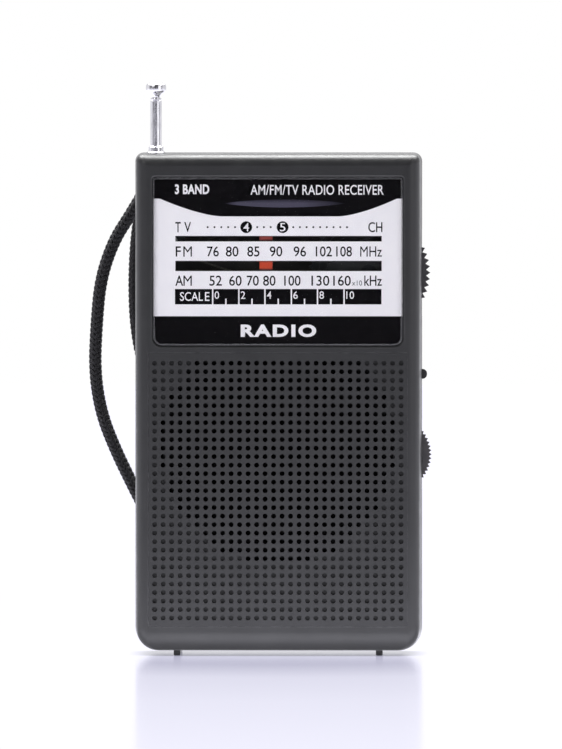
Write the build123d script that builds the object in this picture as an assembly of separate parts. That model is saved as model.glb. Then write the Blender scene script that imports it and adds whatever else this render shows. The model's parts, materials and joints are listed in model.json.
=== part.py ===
"""Pocket transistor radio: telescopic antenna, sliding dial pointer, two thumbwheels, wrist strap.

Millimetres. +X is the radio's right as one looks at its front, the front faces -Y, +Z is up.
Every piece is drawn with the case's underside at z = 0 and its middle at x = 0, and keep() moves it
when it is written: up by the feet, and sideways by CASE_X, because the two thumbwheels stand proud
of the right side and shift the middle of the whole radio.
"""

import os
from math import atan2, cos, pi, radians, sin, sqrt, tan

from build123d import *

# ---- driving dimensions -------------------------------------------------------------------------
CASE_X = -1.0  # the case's middle, off the middle of the whole radio with its thumbwheels
CASE_W, CASE_H, CASE_D = 70.6, 122.7, 27.0
FOOT_H = 0.7
BOTTOM = -0.7  # heights are taken from a datum just above the underside
TOP = BOTTOM + CASE_H
FRONT_DRAFT, BACK_DRAFT = 3.0, 1.5  # degrees that the sides lean in from the parting line
FRONT, BACK = -CASE_D / 2, CASE_D / 2
SIDE = CASE_W / 2
WALL = 1.8
TOP_CORNER_R, BOTTOM_CORNER_R = 2.2, 6.0
FRONT_EDGE_R, BACK_EDGE_R = 2.8, 2.5
IN_FRONT, IN_BACK, IN_SIDE = FRONT + WALL, BACK - WALL, SIDE - WALL
IN_BOTTOM, IN_TOP = BOTTOM + WALL, TOP - WALL

WINDOW_X, WINDOW_Z0, WINDOW_Z1 = 30.7, 74.45, 116.0
WINDOW_BEVEL = 0.3
WINDOW_GAP = 0.2
LENS_Y0, LENS_Y1 = FRONT + 0.2, FRONT + 1.25
PLATE_Y0, PLATE_Y1 = FRONT + 1.3, IN_FRONT
SLOT_X0, SLOT_X1 = -25.1, 25.4
UPPER_SLOT, LOWER_SLOT = (100.15, 101.5), (92.9, 95.4)

GRILLE_X, GRILLE_Z0, GRILLE_Z1 = 31.7, 5.8, 72.9
HOLE_PITCH, HOLE_R, HOLE_TOP_Z = 2.08, 0.62, 70.36
HOLE_COLUMNS, HOLE_ROWS = 30, 31
DIMPLE_DEPTH = 0.8
SPEAKER_ROW, SPEAKER_REACH = 9.9, 13.85  # the circle of open holes, in rows and in pitches

SPEAKER_Z = 50.5
RIM_R, RIM_Y = 28.3, IN_FRONT + 0.6
TUNE_X, TUNE_Z, TUNE_R, TUNE_TEETH, TUNE_TOOTH = 22.3, 92.4, 15.0, 60, 1.0
VOL_X, VOL_Z, VOL_R, VOL_TEETH, VOL_TOOTH = 28.2, 47.7, 9.4, 58, 0.6
WHEEL_HALF = 1.25
WHEEL_SLOT_HALF = 1.6
SWITCH_Z, SWITCH_TRAVEL = 67.5, 2.5

DIAL_TRAVEL, DIAL_TURN = 32.15, 180.0  # the pointer's travel over the wheel's half turn
CORD_R = 0.25
DRUM_R = DIAL_TRAVEL / radians(DIAL_TURN)
CORD_Y = -6.0
CORD_TOP_Z = TUNE_Z + DRUM_R
IDLER_X, IDLER_R = -26.0, 2.45
IDLER_Z = CORD_TOP_Z - IDLER_R
POINTER_X = -2.92
RAIL_Y, RAIL_Z, RAIL_R = -9.6, 97.2, 0.8

BOARD_Y0, BOARD_Y1 = 2.2, 3.8
BOARD_SCREWS = [(-22.0, 87.5), (2.0, 70.0), (28.5, 76.0)]
CASE_SCREWS = [(-21.5, 118.4), (29.8, 118.2), (-31.0, 37.4), (31.0, 35.8)]

CELL_R, CELL_L = 7.25, 50.5
CELL_Y = 4.4
CELL_Z = [10.3, 25.1]
BAY_X, BAY_WALL, BAY_FLOOR_Y, BAY_TOP = 28.2, 1.0, -2.9, 32.6
DOOR_X, DOOR_TOP = 26.5, 32.9

ANTENNA_X, ANTENNA_BOTTOM = -30.2, 42.0
BASE_R, SECOND_R, THIRD_R, ROD_R = 2.3, 1.85, 1.4, 1.0

JACK_Y, JACK_Z, JACK_R = 7.5, 95.0, 1.75

PIN_X, PIN_Y, PIN_Z0, PIN_Z1, PIN_R = -30.6, 11.9, 111.3, 120.2, 0.75
STRAP_D = 3.2


# ---- small helpers ------------------------------------------------------------------------------
def block(x0, x1, y0, y1, z0, z1):
    """A box between two corners."""
    middle = Pos((x0 + x1) / 2, (y0 + y1) / 2, (z0 + z1) / 2)
    return middle * Box(x1 - x0, y1 - y0, z1 - z0)


def rod_x(y, z, r, x0, x1):
    return Pos((x0 + x1) / 2, y, z) * Rot(0, 90, 0) * Cylinder(r, x1 - x0)


def rod_y(x, z, r, y0, y1):
    return Pos(x, (y0 + y1) / 2, z) * Rot(90, 0, 0) * Cylinder(r, y1 - y0)


def rod_z(x, y, r, z0, z1):
    return Pos(x, y, (z0 + z1) / 2) * Cylinder(r, z1 - z0)


def turned_y(profile, x=0.0, z=0.0):
    """Turns a closed profile of (radius, y) points about an axis along Y."""
    return Pos(x, 0, z) * revolve(make_face(Polyline(*profile, close=True)), Axis.Y)


def turned_z(profile, x=0.0, y=0.0):
    """Turns a closed profile of (radius, z) points about an axis along Z."""
    face = make_face(Plane.XZ * Polyline(*profile, close=True))
    return Pos(x, y, 0) * revolve(face, Axis.Z)


def slab(sketch, z_mid, y0, y1):
    """A front-view sketch, centred at height z_mid, extruded from y1 forward to y0."""
    return extrude(Plane.XZ.offset(-y1) * Pos(0, z_mid) * sketch, y1 - y0, dir=(0, -1, 0))


def case_outline(inset=0.0):
    """The case seen from the front: small round corners on top, larger ones below."""
    sketch = Rectangle(CASE_W - 2 * inset, CASE_H - 2 * inset)
    top = sketch.vertices().sort_by(Axis.Y)[-2:]
    sketch = fillet(top, max(TOP_CORNER_R - inset, 0.6))
    low = sketch.vertices().sort_by(Axis.Y)[:2]
    return fillet(low, max(BOTTOM_CORNER_R - inset, 0.6))


def joined(parts):
    """One node made of several pieces that don't touch, or that are fused where they do."""
    whole = parts[0]
    for piece in parts[1:]:
        whole = whole + piece
    return whole


def keep(name, shape):
    """Writes a piece in the radio's own frame."""
    export_step(Pos(CASE_X, 0, FOOT_H - BOTTOM) * shape, f"parts/{name}.step")


# ---- the case -----------------------------------------------------------------------------------
CASE_MID_Z = BOTTOM + CASE_H / 2
ROLL_Z, ROLL_Y = BOTTOM + 5.2, FRONT + 2.5
ROLL_R = ((ROLL_Z - BOTTOM) ** 2 + (ROLL_Y - FRONT) ** 2) / (2 * (ROLL_Y - FRONT))


def case_block():
    """The whole outside: rounded front and back edges, and a broad roll under the front."""
    middle = Plane.XZ * Pos(0, CASE_MID_Z) * case_outline()
    front_half = extrude(middle, -FRONT, dir=(0, -1, 0), taper=FRONT_DRAFT)
    whole = front_half + extrude(middle, BACK, dir=(0, 1, 0), taper=BACK_DRAFT)
    whole = fillet(whole.edges().group_by(Axis.Y)[0], FRONT_EDGE_R)
    whole = fillet(whole.edges().group_by(Axis.Y)[-1], BACK_EDGE_R)
    middle_y = FRONT + ROLL_R
    corner = block(-SIDE - 1, SIDE + 1, FRONT - 1, middle_y, BOTTOM - 1, ROLL_Z)
    return whole - (corner - rod_x(middle_y, ROLL_Z, ROLL_R, -SIDE - 2, SIDE + 2))


def cavity():
    return slab(case_outline(WALL), CASE_MID_Z, IN_FRONT, IN_BACK)


def window_outline(gap, top_r=0.7, bottom_r=2.2):
    sketch = Rectangle(2 * (WINDOW_X - gap), WINDOW_Z1 - WINDOW_Z0 - 2 * gap)
    sketch = fillet(sketch.vertices().sort_by(Axis.Y)[-2:], max(top_r - gap, 0.3))
    return fillet(sketch.vertices().sort_by(Axis.Y)[:2], max(bottom_r - gap, 0.3))


WINDOW_MID_Z = (WINDOW_Z0 + WINDOW_Z1) / 2


def side_openings():
    """Slots in the right side for the thumbwheels and the band switch, and the antenna's hole."""
    cuts = []
    for x, z, r in ((TUNE_X, TUNE_Z, TUNE_R), (VOL_X, VOL_Z, VOL_R)):
        half = sqrt(r**2 - (IN_SIDE - x) ** 2) + 0.75
        cuts.append(
            block(IN_SIDE - 1, SIDE + 1, -WHEEL_SLOT_HALF, WHEEL_SLOT_HALF, z - half, z + half)
        )
    low, high = SWITCH_Z - SWITCH_TRAVEL - 1.5, SWITCH_Z + 1.5
    cuts.append(block(IN_SIDE - 1, SIDE + 1, -1.4, 1.4, low, high))
    cuts.append(rod_z(ANTENNA_X, 0, BASE_R + 0.02, IN_TOP - 1, TOP + 1))
    return cuts


def screw_bosses(y0, y1, radius):
    return [rod_y(x, z, radius, y0, y1) for x, z in CASE_SCREWS]


def front_shell():
    """Front half: dial window with a shelf behind it, the grille's opening, bosses and rail seats."""
    shell = case_block() & block(-SIDE - 1, SIDE + 1, FRONT - 1, 0, BOTTOM - 1, TOP + 1)
    shell = shell - cavity()
    rim = slab(window_outline(-1.6), WINDOW_MID_Z, IN_FRONT, IN_FRONT + 0.8)
    shelf = slab(window_outline(2.2), WINDOW_MID_Z, IN_FRONT - 1, IN_FRONT + 1)
    shell = shell + rim
    for boss in screw_bosses(IN_FRONT, 0, 2.1):
        shell = shell + boss
    for side in (-1, 1):
        inner, outer = side * 29.9, side * (IN_SIDE + 0.2)
        shell = shell + block(
            min(inner, outer), max(inner, outer), IN_FRONT, -8.6, RAIL_Z - 2, RAIL_Z + 2
        )
    shell = shell - shelf - slab(window_outline(0), WINDOW_MID_Z, FRONT - 1, IN_FRONT)
    mouth = Plane.XZ.offset(-FRONT) * Pos(0, WINDOW_MID_Z) * window_outline(-WINDOW_BEVEL)
    shell = shell - extrude(mouth, WINDOW_BEVEL, dir=(0, 1, 0), taper=45)
    shell = shell - block(-GRILLE_X, GRILLE_X, FRONT - 1, IN_FRONT + 0.5, GRILLE_Z0, GRILLE_Z1)
    shell = shell - rod_y(0, SPEAKER_Z, RIM_R + 0.25, IN_FRONT, RIM_Y + 1)
    shell = shell - rod_x(RAIL_Y, RAIL_Z, RAIL_R, -31.0, 31.0)
    for x, z in CASE_SCREWS:
        shell = shell - rod_y(x, z, 1.0, -9.0, 1.0)
    for cut in side_openings():
        shell = shell - cut
    return shell


def rear_shell():
    """Back half: battery bay, strap pocket, circuit board posts and counterbored screw bosses."""
    shell = case_block() & block(-SIDE - 1, SIDE + 1, 0, BACK + 1, BOTTOM - 1, TOP + 1)
    parting = slab(case_outline(-1), CASE_MID_Z, 0, 0.4) - slab(case_outline(0.35), CASE_MID_Z, 0, 0.4)
    shell = shell - cavity() - parting
    wide = BAY_X + BAY_WALL
    floor = BAY_FLOOR_Y
    shell = shell + block(-wide, wide, floor - BAY_WALL, floor, IN_BOTTOM + 0.1, BAY_TOP + 1.4)
    shell = shell + block(-wide, wide, floor, IN_BACK, BAY_TOP, BAY_TOP + 1.4)
    for inner, outer in ((-wide, -BAY_X), (BAY_X, wide)):
        shell = shell + block(inner, outer, floor, IN_BACK, IN_BOTTOM + 0.1, BAY_TOP)
    for boss in screw_bosses(0, IN_BACK, 2.1) + screw_bosses(7.8, IN_BACK, 3.0):
        shell = shell + boss
    for x, z in BOARD_SCREWS:
        shell = shell + rod_y(x, z, 1.9, BOARD_Y1, IN_BACK)
        shell = shell - rod_y(x, z, 0.9, BOARD_Y1 - 1, 10.0)
    shell = shell + block(-34.4, -26.0, 7.4, IN_BACK, 110.8, IN_TOP + 0.1)
    shell = shell - block(-33.2, -27.2, 8.6, BACK + 1, 112.0, 119.4)
    shell = shell - rod_z(PIN_X, PIN_Y, PIN_R, PIN_Z0, PIN_Z1)
    for x, z in CASE_SCREWS:
        shell = shell - rod_y(x, z, 1.1, -1, BACK) - rod_y(x, z, 2.05, 9.4, BACK + 1)
    low = BOTTOM - 1
    shell = shell - block(-DOOR_X, DOOR_X, IN_BACK - 0.2, BACK + 1, low, DOOR_TOP)
    shell = shell - block(-DOOR_X - 0.9, DOOR_X + 0.9, IN_BACK - 0.1, IN_BACK + 0.8, low, DOOR_TOP)
    shell = shell - rod_x(JACK_Y, JACK_Z, 3.0, -SIDE - 1, -IN_SIDE + 1)
    shell = shell + block(-IN_SIDE - 0.2, -27.9, 0, 2.8, 39.2, ANTENNA_BOTTOM)
    for cut in side_openings():
        shell = shell - cut
    return shell


def open_hole(column, row):
    """True where the grille is open: inside the speaker's circle. The others are blind dimples."""
    across, down = column - (HOLE_COLUMNS - 1) / 2, row - SPEAKER_ROW
    return across**2 + down**2 <= SPEAKER_REACH**2


def speaker_grille():
    """Flat panel with a square field of holes, open over the speaker and blind elsewhere."""
    middle_z = (GRILLE_Z0 + GRILLE_Z1) / 2
    sheets = []
    for y0, y1, opened_only in (
        (FRONT, FRONT + DIMPLE_DEPTH, False),
        (FRONT + DIMPLE_DEPTH, IN_FRONT, True),
    ):
        outer = Wire.make_rect(2 * GRILLE_X - 0.1, GRILLE_Z1 - GRILLE_Z0 - 0.1)
        inner = []
        for row in range(HOLE_ROWS):
            for column in range(HOLE_COLUMNS):
                if opened_only and not open_hole(column, row):
                    continue
                x = (column - (HOLE_COLUMNS - 1) / 2) * HOLE_PITCH
                z = HOLE_TOP_Z - row * HOLE_PITCH - middle_z
                inner.append(Pos(x, z) * Wire.make_circle(HOLE_R))
        sheets.append(slab(Face(outer, inner), middle_z, y0, y1))
    return sheets[0] + sheets[1]


def foot_ribs():
    ribs = []
    for x in (-24.8, 24.8):
        rib = block(x - 0.82, x + 0.82, -9.6, 9.6, BOTTOM - FOOT_H, BOTTOM + 0.6)
        ribs.append(fillet(rib.edges().filter_by(Axis.Y).group_by(Axis.Z)[0], 0.3))
    return joined(ribs) - case_block()


def battery_door():
    """Sliding door at the bottom of the back, with side tongues and a ribbed thumb patch."""
    side, top = DOOR_X - 0.12, DOOR_TOP - 0.15
    door = case_block() & block(-side, side, IN_BACK, BACK + 1, BOTTOM - 1, top)
    for side in (-1, 1):
        a, b = side * (DOOR_X - 0.5), side * (DOOR_X + 0.75)
        door = door + block(min(a, b), max(a, b), IN_BACK, IN_BACK + 0.65, 4.0, top)
    for step in range(6):
        z = 22.0 + 1.5 * step
        door = door - rod_x(BACK + 0.35, z, 0.7, -8.0, 8.0)
    return door


# ---- the dial -----------------------------------------------------------------------------------
def dial_lens():
    lens = slab(window_outline(WINDOW_GAP), WINDOW_MID_Z, LENS_Y0, LENS_Y1)
    return chamfer(lens.edges().group_by(Axis.Y)[0], 0.35)


def dial_scale_plate():
    plate = slab(window_outline(WINDOW_GAP), WINDOW_MID_Z, PLATE_Y0, PLATE_Y1)
    for z0, z1 in (UPPER_SLOT, LOWER_SLOT):
        plate = plate - block(SLOT_X0, SLOT_X1, PLATE_Y0 - 1, PLATE_Y1 + 1, z0, z1)
    return plate


def dial_pointer():
    """Flag seen through both slots, a carriage that runs on the rail, and a clip on the cord."""
    x = POINTER_X
    flag = block(x - 1.58, x + 1.58, -11.5, -10.9, 92.2, 102.2)
    carriage = block(x - 2.4, x + 2.4, -10.9, -8.2, RAIL_Z - 1.9, RAIL_Z + 1.9)
    riser = block(x - 0.8, x + 0.8, -8.3, -7.3, RAIL_Z - 1, CORD_TOP_Z + 0.8)
    clip = block(x - 0.8, x + 0.8, -7.3, CORD_Y + 0.6, CORD_TOP_Z - 0.43, CORD_TOP_Z + 0.8)
    whole = flag + carriage + riser + clip
    whole = whole - rod_x(RAIL_Y, RAIL_Z, RAIL_R + 0.06, x - 5, x + 5)
    return whole - rod_x(CORD_Y, CORD_TOP_Z, CORD_R + 0.1, x - 5, x + 5)


def cord_path():
    """The dial cord's loop: over the drum, back under it, and round the idler."""
    low = -pi / 2 - 2 * atan2(IDLER_Z - TUNE_Z, TUNE_X - IDLER_X)
    corners = []
    for x, z, r in ((TUNE_X, TUNE_Z, DRUM_R), (IDLER_X, IDLER_Z, IDLER_R)):
        corners.append((x + r * cos(low), CORD_Y, z + r * sin(low)))
    low_drum, low_idler = corners
    top_drum, top_idler = (TUNE_X, CORD_Y, CORD_TOP_Z), (IDLER_X, CORD_Y, CORD_TOP_Z)
    far_drum = (TUNE_X + DRUM_R, CORD_Y, TUNE_Z)
    far_idler = (IDLER_X - IDLER_R, CORD_Y, IDLER_Z)
    return Wire(
        [
            Edge.make_line(top_idler, top_drum),
            Edge.make_three_point_arc(top_drum, far_drum, low_drum),
            Edge.make_line(low_drum, low_idler),
            Edge.make_three_point_arc(low_idler, far_idler, top_idler),
        ]
    )


def dial_cord():
    path = cord_path()
    start = Plane(origin=(IDLER_X, CORD_Y, CORD_TOP_Z), z_dir=(1, 0, 0))
    return sweep(start * Circle(CORD_R), path=path)


def grooved(radius, flange, y0, y1, bore):
    """A pulley turned about Y, with a V groove for the dial cord at CORD_Y."""
    bottom = radius - CORD_R - 0.05
    return [
        (bore, y0),
        (flange, y0),
        (flange, CORD_Y - 0.75),
        (bottom, CORD_Y - 0.35),
        (bottom, CORD_Y + 0.35),
        (flange, CORD_Y + 0.75),
        (flange, y1),
        (bore, y1),
    ]


def idler_pulley():
    return turned_y(grooved(IDLER_R, 3.1, CORD_Y - 1.1, CORD_Y + 1.1, 0.86), IDLER_X, IDLER_Z)


def idler_pin():
    """Pin from the circuit board with a collar each side of the pulley."""
    pin = rod_y(IDLER_X, IDLER_Z, 0.8, CORD_Y - 2.0, BOARD_Y0)
    collar = rod_y(IDLER_X, IDLER_Z, 1.5, CORD_Y + 1.2, BOARD_Y0)
    return pin + collar + rod_y(IDLER_X, IDLER_Z, 1.3, CORD_Y - 2.0, CORD_Y - 1.2)


# ---- thumbwheels and the controls they turn -----------------------------------------------------
def toothed_wheel(x, z, radius, teeth, depth, bore):
    """Thumbwheel with pointed teeth and a shallow ring recess in its front."""
    points = []
    for k in range(2 * teeth):
        r = radius if k % 2 == 0 else radius - depth
        points.append((r * cos(pi * k / teeth), r * sin(pi * k / teeth)))
    face = Pos(x, z) * make_face(Polyline(*points, close=True))
    wheel = extrude(Plane.XZ.offset(-WHEEL_HALF) * face, 2 * WHEEL_HALF)
    wheel = wheel - rod_y(x, z, bore, -WHEEL_HALF - 1, WHEEL_HALF + 1)
    recess = rod_y(x, z, radius - 2.6, -WHEEL_HALF - 1, -WHEEL_HALF + 0.5)
    return wheel - (recess - rod_y(x, z, radius * 0.45, -WHEEL_HALF - 1, -WHEEL_HALF + 0.5))


def tuning_wheel():
    return toothed_wheel(TUNE_X, TUNE_Z, TUNE_R, TUNE_TEETH, TUNE_TOOTH, 2.0)


def tuning_drum():
    profile = grooved(DRUM_R, DRUM_R + 0.2, CORD_Y - 1.0, -WHEEL_HALF, 2.0)
    return turned_y(profile, TUNE_X, TUNE_Z)


def tuning_shaft():
    shaft = rod_y(TUNE_X, TUNE_Z, 2.0, CORD_Y - 1.0, 6.0)
    return shaft - rod_y(TUNE_X, TUNE_Z, 0.9, CORD_Y - 2.0, -2.0)


def cross_screw(x, z, head_r, head_y0, head_y1, shank_r, shank_y1):
    """Screw driven from the front, with a cross slot in its head."""
    screw = rod_y(x, z, head_r, head_y0, head_y1) + rod_y(x, z, shank_r, head_y1, shank_y1)
    arm, depth = head_r * 0.6, head_y0 + 0.45
    screw = screw - block(x - arm, x + arm, head_y0 - 1, depth, z - 0.25, z + 0.25)
    return screw - block(x - 0.25, x + 0.25, head_y0 - 1, depth, z - arm, z + arm)


def tuning_screw():
    return cross_screw(TUNE_X, TUNE_Z, 2.1, CORD_Y - 1.9, CORD_Y - 1.0, 0.9, -2.5)


def tuning_capacitor():
    can = block(TUNE_X - 7.5, TUNE_X + 7.5, BOARD_Y1, 10.0, TUNE_Z - 7.5, TUNE_Z + 7.5)
    return can - rod_y(TUNE_X, TUNE_Z, 2.06, BOARD_Y1 - 1, 6.2)


def volume_wheel():
    return toothed_wheel(VOL_X, VOL_Z, VOL_R, VOL_TEETH, VOL_TOOTH, 1.5)


def volume_shaft():
    shaft = rod_y(VOL_X, VOL_Z, 1.5, -WHEEL_HALF, 6.0)
    return shaft - rod_y(VOL_X, VOL_Z, 0.7, -WHEEL_HALF - 1, 2.0)


def volume_screw():
    return cross_screw(VOL_X, VOL_Z, 1.9, -WHEEL_HALF - 0.9, -WHEEL_HALF, 0.7, 1.6)


def volume_control():
    can = rod_y(VOL_X, VOL_Z, 4.9, BOARD_Y1, 8.4)
    return can - rod_y(VOL_X, VOL_Z, 1.56, BOARD_Y1 - 1, 6.2)


def band_switch_body():
    z = SWITCH_Z - SWITCH_TRAVEL / 2
    half = SWITCH_TRAVEL / 2 + 2.1
    body = block(27.4, 33.0, -2.2, BOARD_Y0, z - half - 1.2, z + half + 1.2)
    return body - block(29.2, 34.0, -1.45, 1.45, z - half, z + half)


def band_switch_knob():
    base = block(29.6, 32.8, -1.35, 1.35, SWITCH_Z - 2.0, SWITCH_Z + 2.0)
    stem = block(32.8, SIDE + 1.2, -1.15, 1.15, SWITCH_Z - 1.2, SWITCH_Z + 1.2)
    stem = fillet(stem.edges().filter_by(Axis.Y).group_by(Axis.X)[-1], 1.1)
    return base + stem


# ---- circuit board and what is on it ------------------------------------------------------------
def circuit_board():
    """L-shaped board: across behind the dial, and down the right side to the volume control."""
    outline = [(-27.4, 66), (15, 66), (15, 38.8), (32.4, 38.8), (32.4, 115.4), (-27.4, 115.4)]
    face = make_face(Polyline(*outline, close=True))
    board = extrude(Plane.XZ.offset(-BOARD_Y1) * face, BOARD_Y1 - BOARD_Y0)
    holes = [(x, z, 1.0) for x, z in BOARD_SCREWS]
    holes += [(TUNE_X, TUNE_Z, 2.6), (VOL_X, VOL_Z, 2.0)]
    for x, z, r in holes:
        board = board - rod_y(x, z, r, BOARD_Y0 - 1, BOARD_Y1 + 1)
    return board


def board_screws():
    screws = []
    for x, z in BOARD_SCREWS:
        screws.append(cross_screw(x, z, 1.7, BOARD_Y0 - 1.1, BOARD_Y0, 0.85, 9.6))
    return joined(screws)


def receiver_chip():
    chip = block(-8.0, 8.0, BOARD_Y1 + 0.2, 6.2, 84.4, 89.6)
    for k in range(10):
        x = -7.2 + 1.6 * k
        chip = chip + block(x - 0.25, x + 0.25, BOARD_Y1, BOARD_Y1 + 0.5, 83.2, 90.8)
    return chip


def if_transformers():
    cans = []
    for x in (-14.5, -5.8, 0.9, 8.6):
        can = block(x - 3.0, x + 3.0, BOARD_Y1, 10.6, 74.6, 80.6)
        cans.append(can - rod_y(x, 77.6, 1.5, 9.6, 11.0))
    return joined(cans)


def electrolytic_capacitors():
    cans = []
    small, large = 2.5, 3.0
    places = [(-14, 69.5, small), (-7.5, 69.5, small), (9.5, 69.8, large)]
    for x, z, r in places + [(19.5, 59, small), (26, 60.5, large)]:
        can = rod_y(x, z, r, BOARD_Y1, 10.8)
        cans.append(fillet(can.edges().group_by(Axis.Y)[-1], 0.5))
    return joined(cans)


def leaded(body, x0, x1, y, z):
    """A board component with two wire legs that go down to the board."""
    wire = rod_x(y, z, 0.3, x0, x1)
    for x in (x0 + 0.3, x1 - 0.3):
        wire = wire + rod_y(x, z, 0.3, BOARD_Y1, y)
    return body + wire


def resistors():
    pieces = []
    for column in (-12.0, -1.0):
        for row in range(5):
            z = 92.8 + 2.6 * row
            body = rod_x(BOARD_Y1 + 1.3, z, 0.95, column - 2.7, column + 2.7)
            pieces.append(leaded(body, column - 4.4, column + 4.4, BOARD_Y1 + 1.3, z))
    return joined(pieces)


def ceramic_capacitors():
    pieces = []
    for x, z in ((8.0, 93.5), (8.0, 98.2), (8.0, 102.9), (-18.6, 93.4)):
        disc = rod_x(BOARD_Y1 + 3.0, z, 2.0, x - 0.6, x + 0.6)
        for dz in (-1.2, 1.2):
            disc = disc + rod_y(x, z + dz, 0.3, BOARD_Y1, BOARD_Y1 + 2.2)
        pieces.append(disc)
    return joined(pieces)


def air_coils():
    coils = []
    for z in (84.0, 88.5):
        coil = rod_x(5.9, z, 1.9, 9.2, 12.9) - rod_x(5.9, z, 1.35, 9.0, 13.1)
        for x in (9.6, 12.5):
            coil = coil + rod_y(x, z - 1.62, 0.2, BOARD_Y1, 5.9)
        coils.append(coil)
    return joined(coils)


FERRITE_Y, FERRITE_Z, FERRITE_R = 7.9, 109.5, 3.2


def ferrite_rod():
    return rod_x(FERRITE_Y, FERRITE_Z, FERRITE_R, -23.0, 30.0)


def ferrite_coil():
    coil = rod_x(FERRITE_Y, FERRITE_Z, FERRITE_R + 0.45, -12.0, 6.0)
    return coil - rod_x(FERRITE_Y, FERRITE_Z, FERRITE_R, -13.0, 7.0)


def ferrite_clips():
    clips = []
    for x in (-19.0, 25.0):
        clip = block(x - 1.6, x + 1.6, BOARD_Y1, 9.6, 105.2, 113.8)
        clips.append(clip - rod_x(FERRITE_Y, FERRITE_Z, FERRITE_R, x - 3, x + 3))
    return joined(clips)


def earphone_jack():
    """Board-mounted jack whose bushing comes flush with the left side."""
    body = block(-31.6, -20.9, BOARD_Y1, 11.2, JACK_Z - 3.7, JACK_Z + 3.7)
    body = body + rod_x(JACK_Y, JACK_Z, 2.9, -SIDE + 0.1, -31.6)
    return body - rod_x(JACK_Y, JACK_Z, JACK_R, -SIDE - 1, -22.4)


# ---- the speaker --------------------------------------------------------------------------------
def speaker_part(profile):
    return turned_y(profile, 0, SPEAKER_Z)


def speaker_gasket():
    y0, y1 = IN_FRONT, RIM_Y
    return speaker_part([(26.4, y0), (RIM_R, y0), (RIM_R, y1), (26.4, y1)])


def speaker_frame():
    """Pressed steel basket with four windows."""
    front = [(24.6, RIM_Y), (RIM_R, RIM_Y), (RIM_R, RIM_Y + 0.7), (25.3, RIM_Y + 0.7)]
    back = [(25.3, -8.6), (14.8, -3.6), (14.8, -3.2), (7.4, -3.2), (7.4, -3.8), (14.4, -3.8)]
    frame = speaker_part(front + back + [(24.6, -8.9)])
    for k in range(4):
        angle = 45 + 90 * k
        window = Pos(0, 0, SPEAKER_Z) * Rot(0, angle, 0) * block(15.6, 23.6, -9.5, -3.4, -6.5, 6.5)
        frame = frame - window
    return frame


def speaker_surround():
    """Half-round roll between the frame's rim and the cone, with a flange glued on the rim."""
    middle, front = 23.1, RIM_Y - 0.35
    angles = [pi * k / 8 for k in range(9)]
    outer = [(middle + 1.25 * cos(a), RIM_Y + 1.25 * sin(a)) for a in angles]
    inner = [(middle + 1.2 * cos(a), front + 1.2 * sin(a)) for a in angles]
    return speaker_part([(26.4, front), (26.4, RIM_Y)] + outer + inner[::-1])


def speaker_cone():
    return speaker_part([(21.8, RIM_Y - 0.35), (21.8, RIM_Y), (6.9, -5.2), (6.9, -5.7)])


def speaker_dust_cap():
    ball = 6.8 / sin(radians(60))
    outer = [(ball * sin(radians(6 * k)), -5.8 - ball * (cos(radians(6 * k)) - 0.5)) for k in range(11)]
    inner = [(r, y + 0.35) for r, y in outer]
    return speaker_part(outer + inner[::-1])


def voice_coil():
    return speaker_part([(6.0, -5.4), (6.3, -5.4), (6.3, 0.6), (6.0, 0.6)])


def speaker_magnet():
    return speaker_part([(7.4, -3.2), (13.0, -3.2), (13.0, 1.2), (7.4, 1.2)])


def speaker_yoke():
    """Back plate and pole piece in one."""
    return speaker_part([(0, -3.6), (5.5, -3.6), (5.5, 1.2), (13.0, 1.2), (13.0, 2.6), (0, 2.6)])


def speaker_clamps():
    """Four short posts with washers over the speaker's rim."""
    clamps = []
    for degrees in (35, 145, 225, 315):
        angle = radians(degrees)
        x, z = 30.6 * cos(angle), SPEAKER_Z + 30.6 * sin(angle)
        post = rod_y(x, z, 1.6, IN_FRONT, RIM_Y + 0.75)
        clamps.append(post + rod_y(x, z, 3.3, RIM_Y + 0.75, RIM_Y + 1.5))
    return joined(clamps)


# ---- power --------------------------------------------------------------------------------------
BAY_END = BAY_X - 0.4  # face of the contact plates
CELL_ENDS = [(-BAY_END, -1), (BAY_END, 1)]


def battery_cells():
    """Two cells, opposite ways round, each with its nub against a contact plate."""
    cells = []
    for z, side in zip(CELL_Z, (1, -1)):
        nub, face, tail = side * BAY_END, side * (BAY_END - 1.0), side * (BAY_END - CELL_L)
        body = rod_x(CELL_Y, z, CELL_R, min(face, tail), max(face, tail))
        body = fillet(body.edges(), 0.6)
        cells.append(body + rod_x(CELL_Y, z, 2.75, min(nub, face), max(nub, face)))
    return joined(cells)


def battery_contacts():
    """One link plate on the right, two separate plates on the left."""
    y0, y1 = -2.4, 11.2
    plates = [block(BAY_END, BAY_X, y0, y1, 4.0, 31.8)]
    for z in CELL_Z:
        plates.append(block(-BAY_X, -BAY_END, y0, y1, z - 6.5, z + 6.5))
    return joined(plates)


def battery_springs():
    """Conical contact springs as stacked turns, one for each cell's flat end."""
    springs = []
    turns, wire, span = 4, 0.4, 5.0
    for z, side in zip(CELL_Z, (-1, 1)):
        spring = None
        pitch = (span - 2 * wire) / (turns - 1)
        for k in range(turns):
            x = side * (BAY_END - wire - pitch * k)
            r = 4.6 - 0.45 * k
            turn = Pos(x, CELL_Y, z) * Rot(0, 90, 0) * Torus(r, wire)
            spring = turn if spring is None else spring + turn
            if k < turns - 1:
                end = side * (BAY_END - wire - pitch * (k + 1))
                up = (r - 0.2) * (-1) ** k
                spring = spring + rod_x(CELL_Y, z + up, wire * 0.9, min(x, end), max(x, end))
        springs.append(spring)
    return joined(springs)


def wire_run(points, radius, bend):
    """A wire along straight runs joined by arcs."""
    path = FilletPolyline(*points, radius=bend)
    start = Plane(origin=points[0], z_dir=Vector(*points[1]) - Vector(*points[0]))
    return sweep(start * Circle(radius), path=path)


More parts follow.
